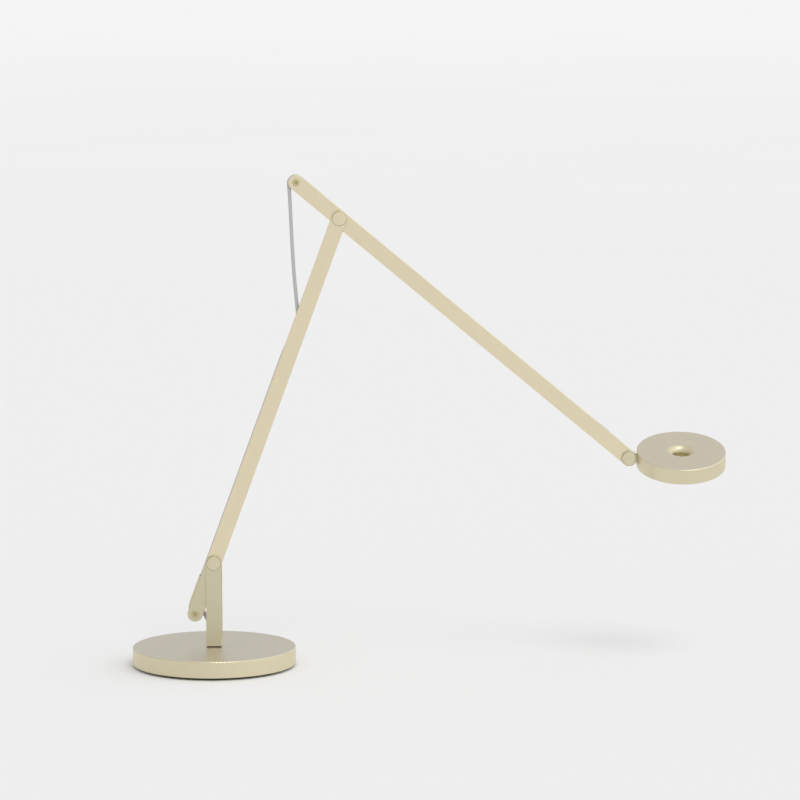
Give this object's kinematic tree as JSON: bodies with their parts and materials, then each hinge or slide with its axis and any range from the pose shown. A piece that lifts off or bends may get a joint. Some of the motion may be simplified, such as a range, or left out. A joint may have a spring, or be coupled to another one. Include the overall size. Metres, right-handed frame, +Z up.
{
  "type": "desk lamp",
  "caption": "Balanced-arm desk lamp: weighted round base, forked post, two slim bar arms with tails joined by a taut cord, and a flat ring-shaped head.",
  "frame": {"origin": "centre of the foot's underside, on the table", "axes": "+Z up, +X from the base towards the lamp's head at rest, -Y towards the viewer of the picture"},
  "size_m": [0.6527, 0.181, 0.5438],
  "materials": {
    "satin_metal": "bead-blasted and anodised in a pale champagne tone",
    "ballast_iron": "machined, dull",
    "steel": "turned steel",
    "black_rubber": "matt black",
    "bearing_brass": "plain turned",
    "slide_plastic": "matt, low friction",
    "grey_cord": "fine braided grey sheath",
    "circuit_board": "white solder mask",
    "lamp_chip": "yellow phosphor",
    "white_reflector": "matt white",
    "opal_diffuser": "opal, satin"
  },
  "bodies": {
    "base": {"base_cover": "satin_metal", "base_ballast": "ballast_iron", "base_bottom_plate": "steel", "base_screws": "steel", "base_foot_pad": "black_rubber", "cable_inlet": "black_rubber", "swivel_bush": "bearing_brass", "base_cord": "grey_cord"},
    "post": {"post_fork": "satin_metal", "post_spigot": "steel", "swivel_washer": "slide_plastic", "swivel_nut": "steel", "post_cord": "grey_cord", "lower_pivot_shaft": "steel", "lower_caps": "satin_metal", "lower_friction_washers": "slide_plastic"},
    "lower_arm": {"lower_arm_bar": "satin_metal", "lower_arm_bush": "bearing_brass", "lower_tail_plug": "slide_plastic", "lower_tail_screw": "satin_metal", "tail_cord_cover": "satin_metal", "lower_arm_cord": "grey_cord", "tail_link_cord": "grey_cord", "cord_guide_pin": "steel", "cord_guide_bend": "grey_cord", "upper_pivot_shaft": "steel", "upper_caps": "satin_metal", "upper_friction_washers": "slide_plastic"},
    "cord_swing": {"cord_stretch_lower": "grey_cord"},
    "cord_feed": {"cord_stretch_upper": "grey_cord"},
    "upper_arm": {"upper_arm_bar": "satin_metal", "upper_arm_bush": "bearing_brass", "head_end_bush": "bearing_brass", "upper_tail_screw": "satin_metal", "upper_arm_cord": "grey_cord", "balance_spring": "steel", "spring_anchor_pin": "steel", "arm_lead": "grey_cord"},
    "pulley": {"cord_pulley": "slide_plastic"},
    "slider": {"spring_slider": "slide_plastic"},
    "knuckle": {"head_knuckle": "satin_metal", "head_pivot_shaft": "steel", "head_caps": "satin_metal", "head_friction_washers": "slide_plastic", "neck_spigot": "steel", "neck_nut": "steel", "neck_lead": "grey_cord", "knuckle_lead": "grey_cord"},
    "head": {"head_housing": "satin_metal", "led_board": "circuit_board", "led_chips": "lamp_chip", "reflector_ring": "white_reflector", "diffuser": "opal_diffuser", "bezel_ring": "satin_metal", "centre_cover": "satin_metal", "button_spring": "steel", "head_lead": "grey_cord"},
    "button": {"dimmer_button": "satin_metal"}
  },
  "joints": [
    {"name": "base_swivel", "type": "hinge", "parent": "base", "child": "post", "pos_m": [0, 0, 0.0214], "axis": [0, 0, 1], "range_deg": [-160, 160]},
    {"name": "lower_arm_tilt", "type": "hinge", "parent": "post", "child": "lower_arm", "pos_m": [0, 0, 0.115], "axis": [0, 1, 0], "range_deg": [-20, 20], "deforming": ["tail_link_cord"]},
    {"name": "upper_arm_tilt", "type": "hinge", "parent": "lower_arm", "child": "upper_arm", "pos_m": [0.13894, 0, 0.49489], "axis": [0, -1, 0], "range_deg": [-35, 35], "deforming": ["upper_arm_cord", "cord_guide_bend"]},
    {"name": "cord_swing", "type": "hinge", "parent": "lower_arm", "child": "cord_swing", "pos_m": [0.09073, 0, 0.38315], "axis": [0, -1, 0], "range_deg": [-9.8, 9.8], "deforming": ["cord_stretch_lower"]},
    {"name": "cord_feed", "type": "slide", "parent": "cord_swing", "child": "cord_feed", "axis": [-0.0662, 0, 0.9978], "range_m": [-0.0293, 0.0293], "deforming": ["cord_stretch_upper"]},
    {"name": "pulley_spin", "type": "hinge", "parent": "upper_arm", "child": "pulley", "pos_m": [0.09201, 0, 0.53385], "axis": [0, -1, 0], "range_deg": [-236, 236]},
    {"name": "spring_slide", "type": "slide", "parent": "upper_arm", "child": "slider", "axis": [0.7694, 0, -0.6388], "range_m": [-0.033, 0.033], "deforming": ["balance_spring"]},
    {"name": "head_tilt", "type": "hinge", "parent": "upper_arm", "child": "knuckle", "pos_m": [0.45644, 0, 0.23129], "axis": [0, -1, 0], "range_deg": [-80, 40], "deforming": ["knuckle_lead", "arm_lead"]},
    {"name": "head_roll", "type": "hinge", "parent": "knuckle", "child": "head", "pos_m": [0.51384, 0, 0.23129], "axis": [1, 0, 0], "range_deg": [-108, 72], "deforming": ["head_lead"]},
    {"name": "dimmer_press", "type": "slide", "parent": "head", "child": "button", "axis": [0, 0.309, -0.9511], "range_m": [0, 0.0008], "stiffness_N_per_m": 400, "springref_m": -0.0003, "deforming": ["button_spring"]}
  ],
  "couplings": [
    {"joint": "cord_swing", "follows": "upper_arm_tilt", "ratio": 0.271},
    {"joint": "cord_feed", "follows": "upper_arm_tilt", "m_per_rad": -0.0466},
    {"joint": "pulley_spin", "follows": "upper_arm_tilt", "ratio": -6.55},
    {"joint": "spring_slide", "follows": "upper_arm_tilt", "m_per_rad": 0.0524}
  ]
}
